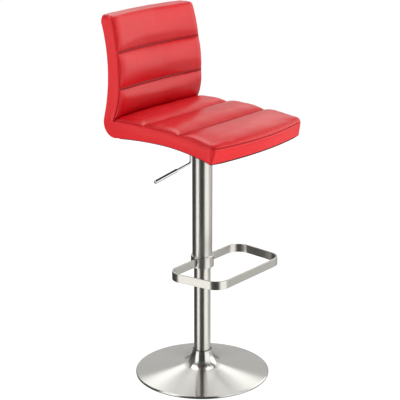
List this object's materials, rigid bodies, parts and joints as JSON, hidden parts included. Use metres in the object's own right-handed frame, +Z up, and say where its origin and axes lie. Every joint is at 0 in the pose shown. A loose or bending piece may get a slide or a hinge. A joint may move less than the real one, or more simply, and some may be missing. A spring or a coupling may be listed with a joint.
{
  "type": "adjustable swivel stool",
  "caption": "Height-adjustable swivel bar stool: channelled padded seat and low back on a gas-lift column, ring footrest, lift lever and trumpet base.",
  "frame": {"origin": "on the floor, on the column's axis", "axes": "+Z up; the sitter faces -Y; the lift lever points to -X"},
  "size_m": [0.4326, 0.47, 1.1054],
  "materials": {
    "brushed_steel": "satin",
    "chrome": "polished",
    "plain_steel": "satin",
    "cast_iron": "matte",
    "black_rubber": "matte",
    "black_plastic": "satin",
    "black_paint": "satin",
    "plywood": "matte",
    "red_padding": "satin",
    "red_cover": "satin",
    "black_cloth": "matte"
  },
  "bodies": {
    "base": {"base_cover": "brushed_steel", "floor_ring": "black_rubber", "base_weight": "cast_iron", "column_foot": "plain_steel", "column_bolts": "plain_steel", "column_tube": "brushed_steel", "neck_ring": "black_plastic", "guide_bush": "black_plastic", "race_lower": "plain_steel"},
    "rod": {"race_upper": "plain_steel", "thrust_balls": "plain_steel", "bumper": "black_rubber", "piston_rod": "plain_steel", "piston": "plain_steel", "rod_washer": "plain_steel", "rod_clip": "plain_steel"},
    "seat": {"gas_cylinder": "black_paint", "cylinder_guide": "black_plastic", "sleeve_tube": "brushed_steel", "sleeve_guide": "black_plastic", "footrest_collar": "brushed_steel", "collar_screws": "plain_steel", "footrest_bar": "brushed_steel", "lever_pin": "plain_steel", "seat_plate": "black_paint", "mechanism_housing": "black_paint", "mechanism_hub": "black_paint", "seat_screws": "plain_steel", "tee_nuts": "plain_steel", "seat_shell": "plywood", "seat_cushion": "red_padding", "back_cushion": "red_padding", "back_panel": "red_cover", "bottom_cover": "black_cloth", "front_band": "red_cover", "side_band_left": "red_cover", "side_band_right": "red_cover"},
    "lever": {"lever_rod": "chrome", "lever_grip": "chrome"},
    "release": {"release_pin": "plain_steel"}
  },
  "joints": [
    {"name": "swivel", "type": "hinge", "parent": "base", "child": "rod", "pos_m": [0, 0, 0.03], "axis": [0, 0, 1], "continuous": true},
    {"name": "lift", "type": "slide", "parent": "rod", "child": "seat", "axis": [0, 0, 1], "range_m": [-0.215, 0]},
    {"name": "lever_tilt", "type": "hinge", "parent": "seat", "child": "lever", "pos_m": [-0.036, 0, 0.7556], "axis": [0, 1, 0], "range_deg": [0, 4]},
    {"name": "pin_press", "type": "slide", "parent": "seat", "child": "release", "axis": [0, 0, -1], "range_m": [0, 0.0026], "stiffness_N_per_m": 2000, "springref_m": -0.0025}
  ],
  "couplings": [
    {"joint": "pin_press", "follows": "lever_tilt", "m_per_rad": 0.036}
  ]
}
